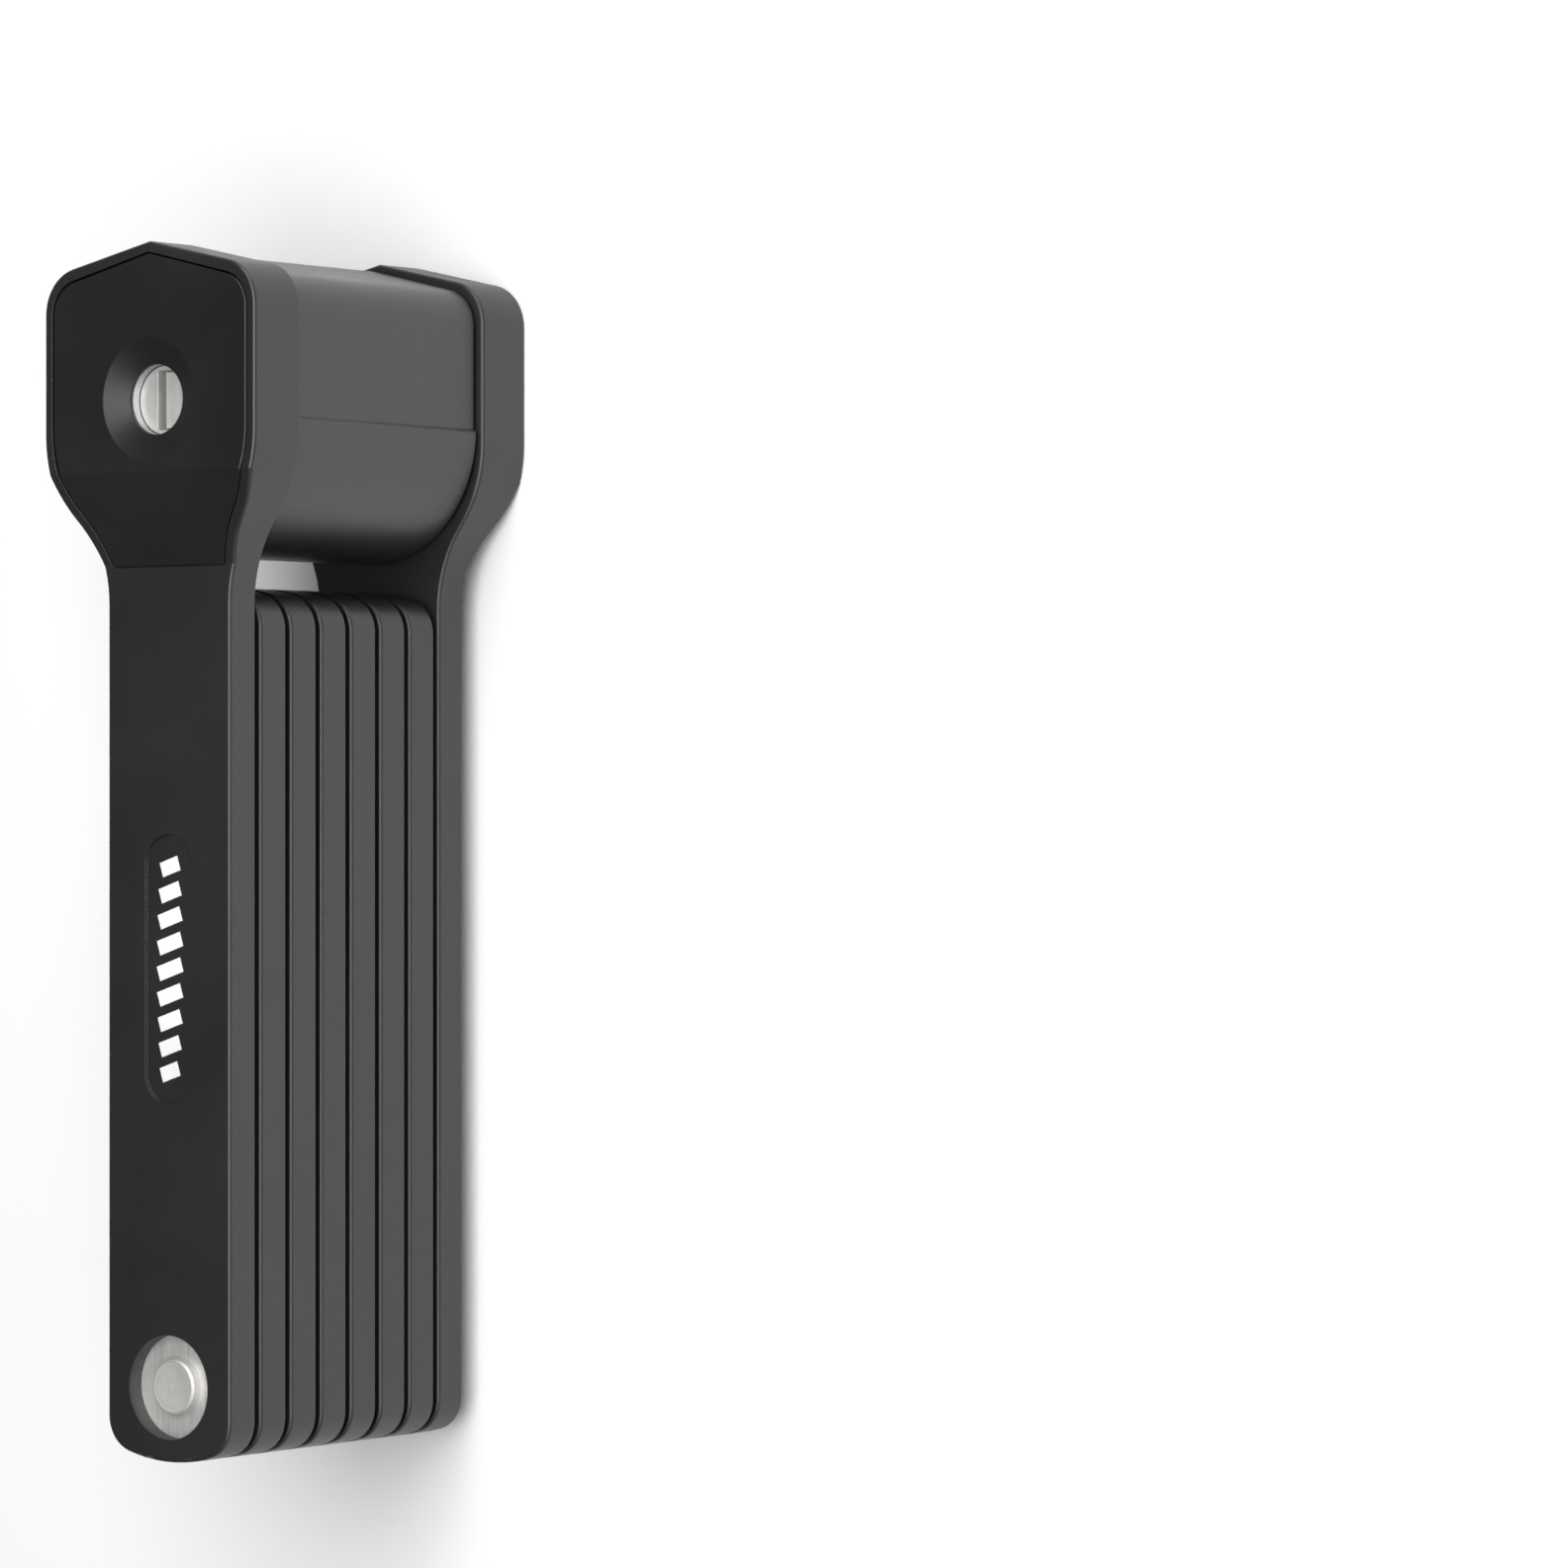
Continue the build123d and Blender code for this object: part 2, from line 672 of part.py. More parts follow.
# ---------------------------------------------------------------- bolt and its drive
over_rise = cam_lead * cam_over / 360
slot_rise = bolt_travel + 2 * over_rise
mean_radius = (cam_radius + cam_bore) / 2

with BuildPart() as cam_slot:
    slot_foot = Plane((x_lock, 0, cross_height - bolt_travel - over_rise))
    with BuildLine(slot_foot) as slot_path:
        Helix(pitch=cam_lead, height=slot_rise, radius=mean_radius)
    section = Plane(slot_path.line @ 0, x_dir=(1, 0, 0), z_dir=slot_path.line % 0)
    with BuildSketch(section):
        Rectangle(2 * (cam_radius - cam_bore), drive_slot)
    sweep(path=slot_path.line, is_frenet=True)

with BuildPart() as drive_cam:
    add(round_bar(cam_radius, cam_foot, cam_top))
    add(round_bar(cam_bore, cam_foot, cam_floor), mode=Mode.SUBTRACT)
    with BuildSketch(Plane.XY.offset(cam_top)):
        with Locations(lock_axis):
            Rectangle(tail_long, tail_wide)
    extrude(amount=-tail_deep, mode=Mode.SUBTRACT)
    turn_axis = Axis((x_lock, 0, 0), (0, 0, 1))
    for side in (0, 180):
        add(cam_slot.part.rotate(turn_axis, side - 90 - cam_over), mode=Mode.SUBTRACT)
finish(drive_cam, "drive_cam")

with BuildPart() as locking_pin:
    add(round_bar(bolt_tip, bolt_low, shank_low))
    add(round_bar(bolt_shank, shank_low, bolt_top))
    with BuildSketch(Plane.YZ.offset(x_lock)):
        with Locations((0, cross_height)):
            Circle(cross_radius)
    extrude(amount=cross_half, both=True, mode=Mode.SUBTRACT)
finish(locking_pin, "locking_pin")

with BuildPart() as cross_pin:
    with BuildSketch(Plane.YZ.offset(x_lock)):
        with Locations((0, cross_height)):
            Circle(cross_radius)
    extrude(amount=cross_half, both=True)
finish(cross_pin, "cross_pin")

groove_foot = cross_height - bolt_travel - cross_radius - bolt_rest
with BuildPart() as bolt_guide:
    add(round_bar(guide_radius, insert_top, guide_top))
    add(round_bar(cam_radius + run_clear, insert_top, guide_top), mode=Mode.SUBTRACT)
    with BuildSketch(Plane.XY.offset(groove_foot)):
        with Locations(lock_axis):
            Rectangle(2 * (cross_half + slide_clear), 2 * (cross_radius + slide_clear))
    extrude(amount=guide_top - groove_foot, mode=Mode.SUBTRACT)
finish(bolt_guide, "bolt_guide")
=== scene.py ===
"""Folding bike lock: finishes, printed label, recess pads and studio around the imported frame."""

from collections import namedtuple
from math import cos, radians, sin

import bpy
from bpy.props import FloatProperty, FloatVectorProperty, IntProperty, PointerProperty
from mathutils import Matrix, Vector


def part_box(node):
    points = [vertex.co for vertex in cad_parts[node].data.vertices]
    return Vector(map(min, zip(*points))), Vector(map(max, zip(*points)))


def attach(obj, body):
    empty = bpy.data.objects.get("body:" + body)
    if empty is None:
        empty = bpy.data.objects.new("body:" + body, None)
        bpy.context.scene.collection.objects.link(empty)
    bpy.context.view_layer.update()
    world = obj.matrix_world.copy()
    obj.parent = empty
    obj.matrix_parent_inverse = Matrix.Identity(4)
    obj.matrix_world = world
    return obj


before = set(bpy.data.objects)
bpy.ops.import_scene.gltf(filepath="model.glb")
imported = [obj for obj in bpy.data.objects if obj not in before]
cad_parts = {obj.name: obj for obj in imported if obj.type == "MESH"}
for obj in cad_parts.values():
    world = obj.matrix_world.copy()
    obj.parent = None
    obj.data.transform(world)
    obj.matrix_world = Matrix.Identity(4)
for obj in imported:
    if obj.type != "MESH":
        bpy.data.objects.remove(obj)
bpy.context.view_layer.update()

bl_info = {
    "name": "Folding bike lock",
    "version": (1, 0, 0),
    "blender": (4, 5, 0),
    "location": "View3D > Sidebar > Folding lock",
    "description": "Builds the looks of a folding bike lock around its frame",
    "category": "Object",
}

MM = 0.001
JACKETS = [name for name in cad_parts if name.endswith("_jacket")]
PLATES = [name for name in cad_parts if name.endswith("_core")]
RIVETS = [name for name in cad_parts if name.startswith("rivet_")]
WASHERS = [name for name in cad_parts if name.startswith("washer_")]
PLUG_LOW, PLUG_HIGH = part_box("key_plug")
LOCK_X = (PLUG_LOW.x + PLUG_HIGH.x) / 2
LOW_RIVET_X = sum(corner.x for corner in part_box("rivet_1")) / 2
TOP_RIVET_X = sum(corner.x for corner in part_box("rivet_2")) / 2
FRONT_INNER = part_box("front_arm_jacket")[0].z
FRONT_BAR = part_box("link_1_jacket")[1].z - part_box("link_1_jacket")[0].z + FRONT_INNER
BRASS_WORKS = ["cylinder_barrel", "key_pins", "driver_pins"]
STEEL_WORKS = [
    "barrel_sleeve",
    "drill_guard",
    "retaining_clip",
    "pin_springs",
    "bolt_guide",
    "cross_pin",
    "locking_pin",
    "drive_cam",
    "latch_stud",
]

# How each kind of surface varies: scale of its slow patches and of its grain (None
# where each material gives its own), darkest and lightest shade, spread of roughness,
# strength of the bump, and the radius that its edges are rounded to in shading
Finish = namedtuple("Finish", "patch grain darker lighter smoother rougher strength edge")
PLASTIC = Finish(38.0, None, 0.85, 1.2, 0.04, 0.05, 0.6, 0.25 * MM)
TURNED = Finish(160.0, 900.0, 0.86, 1.08, 0.06, 0.1, 0.5, 0.15 * MM)
BRUSHED = Finish(120.0, 1200.0, 0.85, 1.1, 0.06, 0.1, 0.5, 0.12 * MM)
RING_FINENESS = 3800.0
STREAK_FINENESS = 2600.0
STREAK_STRETCH = 0.03  # scale along a streak, against 1 across it
FINE_DETAIL = 3.0
SLOW_DETAIL = 4.0
NOISE_LOW, NOISE_HIGH = 0.3, 0.7  # where most of a noise texture's values lie
EDGE_SAMPLES = 4

# Grown pieces
END_DASH = 0.75  # outer dashes against the middle one
END_STEPS = 12  # straight steps in a pad's rounded corner
NEAR_HALF = 0.498  # share of the width, so that two corners don't quite meet
WELD = 1e-6

# Stage
PAPER_GREY = 0.93
PAPER_ROUGH = 0.9
WORLD_STRENGTH = 0.12
CLIP_END = 50.0
CAMERA_SHIFT = (-58.3 * MM, -637.9 * MM, 704.7 * MM)  # from the lock axis at the front arm
# name, place, aim, size, share of the key light
SOFTBOXES = [
    ("overhead", (0.1, -0.47, 1.15), (0.0, -0.05, 0.0), (1.3, 1.0), 1.0),
    ("head_end", (0.95, -0.25, 0.5), (0.07, 0.0, 0.03), (0.5, 0.5), 0.25),
    ("foot_end", (-0.9, -0.5, 0.6), (0.0, 0.0, 0.03), (0.8, 0.6), 0.05),
]


# ---------------------------------------------------------------- settings
class LabelSettings(bpy.types.PropertyGroup):
    """Printed row of slanted dashes on the front arm."""

    centre: FloatProperty(
        name="Centre",
        description="Middle of the label along the bar",
        default=-17.7 * MM,
        unit="LENGTH",
    )
    count: IntProperty(name="Dashes", description="Number of dashes", default=9, min=2)
    spacing: FloatProperty(
        name="Spacing", description="From one dash to the next", default=3.9 * MM, unit="LENGTH"
    )
    width: FloatProperty(
        name="Width", description="Width of a dash along the bar", default=2.3 * MM, unit="LENGTH"
    )
    height: FloatProperty(
        name="Height",
        description="Length of a dash across the bar",
        default=5.0 * MM,
        unit="LENGTH",
    )
    ink: FloatProperty(
        name="Ink", description="Thickness of the print", default=0.06 * MM, unit="LENGTH"
    )
    slant: FloatProperty(
        name="Slant", description="Lean of the dashes", default=radians(18), subtype="ANGLE"
    )
    sunk: FloatProperty(
        name="Sunk",
        description="Recess floor below the bar's face",
        default=0.4 * MM,
        unit="LENGTH",
    )


class PadSettings(bpy.types.PropertyGroup):
    """Smooth pad in the recess of each bar behind the front one."""

    length: FloatProperty(
        name="Length", description="Length of the pad", default=40.6 * MM, unit="LENGTH"
    )
    width: FloatProperty(
        name="Width", description="Width of the pad", default=9.1 * MM, unit="LENGTH"
    )
    thick: FloatProperty(
        name="Thickness", description="Thickness of the pad", default=0.22 * MM, unit="LENGTH"
    )


class ColourSettings(bpy.types.PropertyGroup):
    """Colours of the lock's surfaces."""

    jacket: FloatVectorProperty(
        name="Jacket",
        description="Moulded jacket of the bars",
        default=(0.0085, 0.0085, 0.009),
        subtype="COLOR",
    )
    cover: FloatVectorProperty(
        name="Cover",
        description="Inset panel of the heads",
        default=(0.009, 0.009, 0.0095),
        subtype="COLOR",
    )
    body: FloatVectorProperty(
        name="Lock body",
        description="Coat of the lock body",
        default=(0.017, 0.017, 0.018),
        subtype="COLOR",
    )
    insert: FloatVectorProperty(
        name="Slot insert",
        description="Dark steel round the slot",
        default=(0.12, 0.12, 0.125),
        subtype="COLOR",
    )
    screw: FloatVectorProperty(
        name="Screws",
        description="Blackened steel of the screws",
        default=(0.12, 0.12, 0.125),
        subtype="COLOR",
    )
    steel: FloatVectorProperty(
        name="Plate steel",
        description="Bare plate in the pockets",
        default=(0.78, 0.77, 0.75),
        subtype="COLOR",
    )
    rivet: FloatVectorProperty(
        name="Rivets",
        description="Turned rivet ends",
        default=(0.80, 0.79, 0.77),
        subtype="COLOR",
    )
    plug: FloatVectorProperty(
        name="Key plug",
        description="Satin nickel of the plug",
        default=(0.84, 0.84, 0.82),
        subtype="COLOR",
    )
    brass: FloatVectorProperty(
        name="Brass works",
        description="Barrel and pins",
        default=(0.72, 0.56, 0.28),
        subtype="COLOR",
    )
    works: FloatVectorProperty(
        name="Steel works",
        description="Bolt, cam, guard and stud",
        default=(0.5, 0.5, 0.5),
        subtype="COLOR",
    )
    # Pads: their own dark plastic, made lighter than the jacket as painted sheen of their smooth
    # floor
    pad: FloatVectorProperty(
        name="Pads",
        description="Smooth pads in the recesses of the links",
        default=(0.03, 0.03, 0.031),
        subtype="COLOR",
    )
    print_white: FloatVectorProperty(
        name="Print",
        description="Ink of the label",
        default=(0.86, 0.86, 0.86),
        subtype="COLOR",
    )


class StageSettings(bpy.types.PropertyGroup):
    """Camera, floor and lights."""

    lens: FloatProperty(name="Lens", description="Focal length in mm", default=142.3)
    tilt: FloatProperty(
        name="Tilt",
        description="Camera's lean from straight down",
        default=radians(36.72),
        subtype="ANGLE",
    )
    floor_size: FloatProperty(
        name="Floor", description="Side of the floor", default=12.0, unit="LENGTH"
    )
    key_power: FloatProperty(
        name="Key light", description="Power of the softbox overhead", default=18.0, unit="POWER"
    )


# ---------------------------------------------------------------- shader groups
def new_group(name, inputs, outputs):
    """Empty shader group with named number sockets."""
    group = bpy.data.node_groups.new(name, "ShaderNodeTree")
    for label in inputs:
        group.interface.new_socket(label, in_out="INPUT", socket_type="NodeSocketFloat")
    for label in outputs:
        group.interface.new_socket(label, in_out="OUTPUT", socket_type="NodeSocketFloat")
    return group, group.nodes.new("NodeGroupInput"), group.nodes.new("NodeGroupOutput")


def link(tree, *pairs):
    """Link pairs of sockets."""
    for source, target in pairs:
        tree.links.new(source, target)


def math_node(tree, operation, first, second=None):
    """Math node fed by sockets or numbers."""
    node = tree.nodes.new("ShaderNodeMath")
    node.operation = operation
    for slot, value in enumerate((first, second)):
        if value is None:
            continue
        if isinstance(value, (int, float)):
            node.inputs[slot].default_value = value
        else:
            tree.links.new(value, node.inputs[slot])
    return node.outputs[0]


def grain_group():
    """Moulded grain: fine texture height, with slow patches of shine and colour."""
    group, source, sink = new_group("moulded_grain", ["Fineness", "Patch"], ["Height", "Patches"])
    place = group.nodes.new("ShaderNodeTexCoord")
    fine = group.nodes.new("ShaderNodeTexNoise")
    fine.inputs["Detail"].default_value = FINE_DETAIL
    slow = group.nodes.new("ShaderNodeTexNoise")
    slow.inputs["Detail"].default_value = SLOW_DETAIL
    link(
        group,
        (place.outputs["Object"], fine.inputs["Vector"]),
        (place.outputs["Object"], slow.inputs["Vector"]),
        (source.outputs["Fineness"], fine.inputs["Scale"]),
        (source.outputs["Patch"], slow.inputs["Scale"]),
        (fine.outputs["Fac"], sink.inputs["Height"]),
        (slow.outputs["Fac"], sink.inputs["Patches"]),
    )
    return group


def rings_group():
    """Turned finish: fine rings round an upright axis at a place along the bars."""
    group, source, sink = new_group("turned_rings", ["Centre", "Fineness"], ["Height"])
    place = group.nodes.new("ShaderNodeTexCoord")
    split = group.nodes.new("ShaderNodeSeparateXYZ")
    link(group, (place.outputs["Object"], split.inputs[0]))
    along = math_node(group, "SUBTRACT", split.outputs["X"], source.outputs["Centre"])
    along_square = math_node(group, "MULTIPLY", along, along)
    across_square = math_node(group, "MULTIPLY", split.outputs["Y"], split.outputs["Y"])
    radius = math_node(group, "SQRT", math_node(group, "ADD", along_square, across_square))
    rings = group.nodes.new("ShaderNodeTexNoise")
    rings.noise_dimensions = "1D"
    rings.inputs["Detail"].default_value = SLOW_DETAIL
    link(
        group,
        (radius, rings.inputs["W"]),
        (source.outputs["Fineness"], rings.inputs["Scale"]),
        (rings.outputs["Fac"], sink.inputs["Height"]),
    )
    return group


def brushed_group():
    """Brushed metal: long streaks along X."""
    group, source, sink = new_group("brushed_streaks", ["Fineness"], ["Height"])
    place = group.nodes.new("ShaderNodeTexCoord")
    stretch = group.nodes.new("ShaderNodeMapping")
    stretch.inputs["Scale"].default_value = (STREAK_STRETCH, 1.0, 1.0)
    streaks = group.nodes.new("ShaderNodeTexNoise")
    streaks.inputs["Detail"].default_value = SLOW_DETAIL
    link(
        group,
        (place.outputs["Object"], stretch.inputs["Vector"]),
        (stretch.outputs["Vector"], streaks.inputs["Vector"]),
        (source.outputs["Fineness"], streaks.inputs["Scale"]),
        (streaks.outputs["Fac"], sink.inputs["Height"]),
    )
    return group


def shared_group(name):
    """Shader group by name, built the first time it is asked for."""
    makers = {
        "moulded_grain": grain_group,
        "turned_rings": rings_group,
        "brushed_streaks": brushed_group,
    }
    return bpy.data.node_groups.get(name) or makers[name]()


def place_group(tree, name, **values):
    """Put a shared group in a material with its own values."""
    node = tree.nodes.new("ShaderNodeGroup")
    node.node_tree = shared_group(name)
    for label, value in values.items():
        node.inputs[label].default_value = value
    return node


def spread(tree, source, low, high):
    """Map the usual span of a noise on to a wanted span."""
    node = tree.nodes.new("ShaderNodeMapRange")
    node.inputs["From Min"].default_value = NOISE_LOW
    node.inputs["From Max"].default_value = NOISE_HIGH
    node.inputs["To Min"].default_value = low
    node.inputs["To Max"].default_value = high
    tree.links.new(source, node.inputs["Value"])
    return node.outputs["Result"]


def tint(tree, source, colour, darker, lighter):
    """Colour that drifts between a darker and a lighter shade of itself."""
    mix = tree.nodes.new("ShaderNodeMix")
    mix.data_type = "RGBA"
    mix.inputs["A"].default_value = (*[c * darker for c in colour], 1)
    mix.inputs["B"].default_value = (*[min(c * lighter, 1.0) for c in colour], 1)
    tree.links.new(spread(tree, source, 0.0, 1.0), mix.inputs["Factor"])
    return mix.outputs["Result"]


def soft_edge(tree, radius):
    """Normal that rounds a crease over a small radius."""
    node = tree.nodes.new("ShaderNodeBevel")
    node.samples = EDGE_SAMPLES
    node.inputs["Radius"].default_value = radius
    return node.outputs["Normal"]


def bump(tree, height, distance, strength, normal):
    """Bump of a height in metres on top of a normal."""
    node = tree.nodes.new("ShaderNodeBump")
    node.inputs["Strength"].default_value = strength
    node.inputs["Distance"].default_value = distance
    tree.links.new(height, node.inputs["Height"])
    tree.links.new(normal, node.inputs["Normal"])
    return node.outputs["Normal"]


def blank_material(name):
    """Material with a plain Principled shader, and its tree and shader."""
    material = bpy.data.materials.new(name)
    material.use_nodes = True
    tree = material.node_tree
    tree.nodes.clear()
    shader = tree.nodes.new("ShaderNodeBsdfPrincipled")
    sink = tree.nodes.new("ShaderNodeOutputMaterial")
    tree.links.new(shader.outputs[0], sink.inputs["Surface"])
    return material, tree, shader


# ---------------------------------------------------------------- materials
def dress(tree, shader, finish, colour, rough, depth, patches, shine, height):
    """Drifting colour, spread of roughness and bump of one kind of surface."""
    shade = tint(tree, patches, colour, finish.darker, finish.lighter)
    polish = spread(tree, shine, rough - finish.smoother, rough + finish.rougher)
    relief = bump(tree, height, depth, finish.strength, soft_edge(tree, finish.edge))
    link(
        tree,
        (shade, shader.inputs["Base Color"]),
        (polish, shader.inputs["Roughness"]),
        (relief, shader.inputs["Normal"]),
    )


def plastic(name, colour, rough, fineness, depth, gloss=0.5):
    """Moulded plastic or powder coat with a fine grain."""
    material, tree, shader = blank_material(name)
    shader.inputs["Specular IOR Level"].default_value = gloss
    grain = place_group(tree, "moulded_grain", Fineness=fineness, Patch=PLASTIC.patch)
    patches, height = grain.outputs["Patches"], grain.outputs["Height"]
    dress(tree, shader, PLASTIC, colour, rough, depth, patches, patches, height)
    return material


def metallic(name, finish, colour, rough, depth, metal, pattern):
    """Metal whose shine and bump follow a shared pattern, given as its name and values."""
    material, tree, shader = blank_material(name)
    label, values = pattern
    height = place_group(tree, label, **values).outputs["Height"]
    grain = place_group(tree, "moulded_grain", Fineness=finish.grain, Patch=finish.patch)
    shader.inputs["Metallic"].default_value = metal
    dress(tree, shader, finish, colour, rough, depth, grain.outputs["Patches"], height, height)
    return material


def turned_steel(name, colour, centre, rough, depth, metal=1.0):
    """Turned metal with rings round one rivet axis."""
    rings = ("turned_rings", {"Centre": centre, "Fineness": RING_FINENESS})
    return metallic(name, TURNED, colour, rough, depth, metal, rings)


def brushed_metal(name, colour, rough, depth, metal):
    """Brushed metal with streaks along X."""
    streaks = ("brushed_streaks", {"Fineness": STREAK_FINENESS})
    return metallic(name, BRUSHED, colour, rough, depth, metal, streaks)


def coat(names, material):
    """Give CAD nodes one material."""
    for name in names:
        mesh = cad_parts[name].data
        mesh.materials.clear()
        mesh.materials.append(material)


# ---------------------------------------------------------------- geometry node trees
def new_tree(name, inputs):
    """Empty geometry tree with named inputs and a geometry output."""
    tree = bpy.data.node_groups.new(name, "GeometryNodeTree")
    tree.interface.new_socket("Geometry", in_out="INPUT", socket_type="NodeSocketGeometry")
    for label, kind in inputs:
        tree.interface.new_socket(label, in_out="INPUT", socket_type=kind)
    tree.interface.new_socket("Geometry", in_out="OUTPUT", socket_type="NodeSocketGeometry")
    return tree, tree.nodes.new("NodeGroupInput"), tree.nodes.new("NodeGroupOutput")


def dashes_tree():
    """Row of slanted dashes along X, the outer ones shorter, centred on a place."""
    tree, source, sink = new_tree(
        "slanted_dashes",
        [
            ("Count", "NodeSocketInt"),
            ("Spacing", "NodeSocketFloat"),
            ("Size", "NodeSocketVector"),
            ("Slant", "NodeSocketFloat"),
            ("Place", "NodeSocketVector"),
            ("Material", "NodeSocketMaterial"),
        ],
    )
    nodes = tree.nodes
    row = nodes.new("GeometryNodeMeshLine")
    step = nodes.new("ShaderNodeCombineXYZ")
    dash = nodes.new("GeometryNodeMeshCube")
    copies = nodes.new("GeometryNodeInstanceOnPoints")
    lean = nodes.new("ShaderNodeCombineXYZ")
    index = nodes.new("GeometryNodeInputIndex")
    size = nodes.new("ShaderNodeCombineXYZ")
    solid = nodes.new("GeometryNodeRealizeInstances")
    shift = nodes.new("GeometryNodeTransform")
    paint = nodes.new("GeometryNodeSetMaterial")
    last = math_node(tree, "SUBTRACT", source.outputs["Count"], 1)
    half_count = math_node(tree, "MULTIPLY", last, -0.5)
    half_run = math_node(tree, "MULTIPLY", half_count, source.outputs["Spacing"])
    start = nodes.new("ShaderNodeCombineXYZ")
    share = math_node(tree, "DIVIDE", index.outputs[0], last)
    arch = math_node(tree, "SINE", math_node(tree, "MULTIPLY", share, radians(180)))
    tall = math_node(tree, "ADD", math_node(tree, "MULTIPLY", arch, 1 - END_DASH), END_DASH)
    size.inputs["X"].default_value = 1.0
    size.inputs["Z"].default_value = 1.0
    link(
        tree,
        (source.outputs["Count"], row.inputs["Count"]),
        (source.outputs["Spacing"], step.inputs["X"]),
        (step.outputs[0], row.inputs["Offset"]),
        (half_run, start.inputs["X"]),
        (start.outputs[0], row.inputs["Start Location"]),
        (source.outputs["Size"], dash.inputs["Size"]),
        (row.outputs["Mesh"], copies.inputs["Points"]),
        (dash.outputs["Mesh"], copies.inputs["Instance"]),
        (source.outputs["Slant"], lean.inputs["Z"]),
        (lean.outputs[0], copies.inputs["Rotation"]),
        (tall, size.inputs["Y"]),
        (size.outputs[0], copies.inputs["Scale"]),
        (copies.outputs[0], solid.inputs[0]),
        (solid.outputs[0], shift.inputs["Geometry"]),
        (source.outputs["Place"], shift.inputs["Translation"]),
        (shift.outputs[0], paint.inputs["Geometry"]),
        (source.outputs["Material"], paint.inputs["Material"]),
        (paint.outputs[0], sink.inputs[0]),
    )
    return tree


def pad_tree():
    """Closed flat pad with round ends, resting on a place."""
    tree, source, sink = new_tree(
        "recess_pad",
        [
            ("Length", "NodeSocketFloat"),
            ("Width", "NodeSocketFloat"),
            ("Thickness", "NodeSocketFloat"),
            ("Place", "NodeSocketVector"),
            ("Material", "NodeSocketMaterial"),
        ],
    )
    nodes = tree.nodes
    outline = nodes.new("GeometryNodeCurvePrimitiveQuadrilateral")
    ends = nodes.new("GeometryNodeFilletCurve")
    ends.mode = "POLY"
    ends.inputs["Count"].default_value = END_STEPS
    plate = nodes.new("GeometryNodeFillCurve")
    plate.mode = "NGONS"
    rise = nodes.new("GeometryNodeExtrudeMesh")
    rise.inputs["Individual"].default_value = False
    under = nodes.new("GeometryNodeFlipFaces")
    joined = nodes.new("GeometryNodeJoinGeometry")
    closed = nodes.new("GeometryNodeMergeByDistance")
    closed.inputs["Distance"].default_value = WELD
    solid = nodes.new("GeometryNodeRealizeInstances")
    shift = nodes.new("GeometryNodeTransform")
    paint = nodes.new("GeometryNodeSetMaterial")
    radius = math_node(tree, "MULTIPLY", source.outputs["Width"], NEAR_HALF)
    link(
        tree,
        (source.outputs["Length"], outline.inputs["Width"]),
        (source.outputs["Width"], outline.inputs["Height"]),
        (outline.outputs[0], ends.inputs["Curve"]),
        (radius, ends.inputs["Radius"]),
        (ends.outputs[0], plate.inputs["Curve"]),
        (plate.outputs[0], rise.inputs["Mesh"]),
        (source.outputs["Thickness"], rise.inputs["Offset Scale"]),
        (plate.outputs[0], under.inputs["Mesh"]),
        (rise.outputs["Mesh"], joined.inputs[0]),
        (under.outputs[0], joined.inputs[0]),
        (joined.outputs[0], closed.inputs["Geometry"]),
        (closed.outputs[0], solid.inputs[0]),
        (solid.outputs[0], shift.inputs["Geometry"]),
        (source.outputs["Place"], shift.inputs["Translation"]),
        (shift.outputs[0], paint.inputs["Geometry"]),
        (source.outputs["Material"], paint.inputs["Material"]),
        (paint.outputs[0], sink.inputs[0]),
    )
    return tree


def grow(name, tree, **values):
    """Plain mesh object that a geometry tree makes with the values given."""
    piece = bpy.data.objects.new(name, bpy.data.meshes.new(name))
    bpy.context.scene.collection.objects.link(piece)
    modifier = piece.modifiers.new("grow", "NODES")
    modifier.node_group = tree
    inputs = [item for item in tree.interface.items_tree if item.in_out == "INPUT"]
    sockets = {item.name: item.identifier for item in inputs}
    for label, value in values.items():
        modifier[sockets[label]] = value
    bpy.context.view_layer.update()
    grown = piece.evaluated_get(bpy.context.evaluated_depsgraph_get())
    mesh = bpy.data.meshes.new_from_object(grown)
    piece.modifiers.clear()
    piece.data = mesh
    mesh.name = name
    return piece


# ---------------------------------------------------------------- operators
class FinishJackets(bpy.types.Operator):
    """Soft moulded black on every bar's jacket"""

    bl_idname = "lock.finish_jackets"
    bl_label = "Finish jackets"

    def execute(self, context):
        colours = context.scene.lock_colours
        moulded = plastic(
            "jacket_moulded",
            colours.jacket,
            rough=0.42,
            fineness=2400.0,
            depth=0.02 * MM,
            gloss=0.8,
        )
        nylon = plastic(
            "washer_nylon", colours.jacket, rough=0.6, fineness=3000.0, depth=0.01 * MM
        )
        coat(JACKETS, moulded)
        coat(WASHERS, nylon)
        return {"FINISHED"}


class FinishCovers(bpy.types.Operator):
    """Satin panels in the two heads"""

    bl_idname = "lock.finish_covers"
    bl_label = "Finish head covers"

    def execute(self, context):
        colours = context.scene.lock_colours
        satin = plastic(
            "cover_satin", colours.cover, rough=0.4, fineness=3200.0, depth=0.008 * MM
        )
        coat(["front_cover", "rear_cover"], satin)
        return {"FINISHED"}


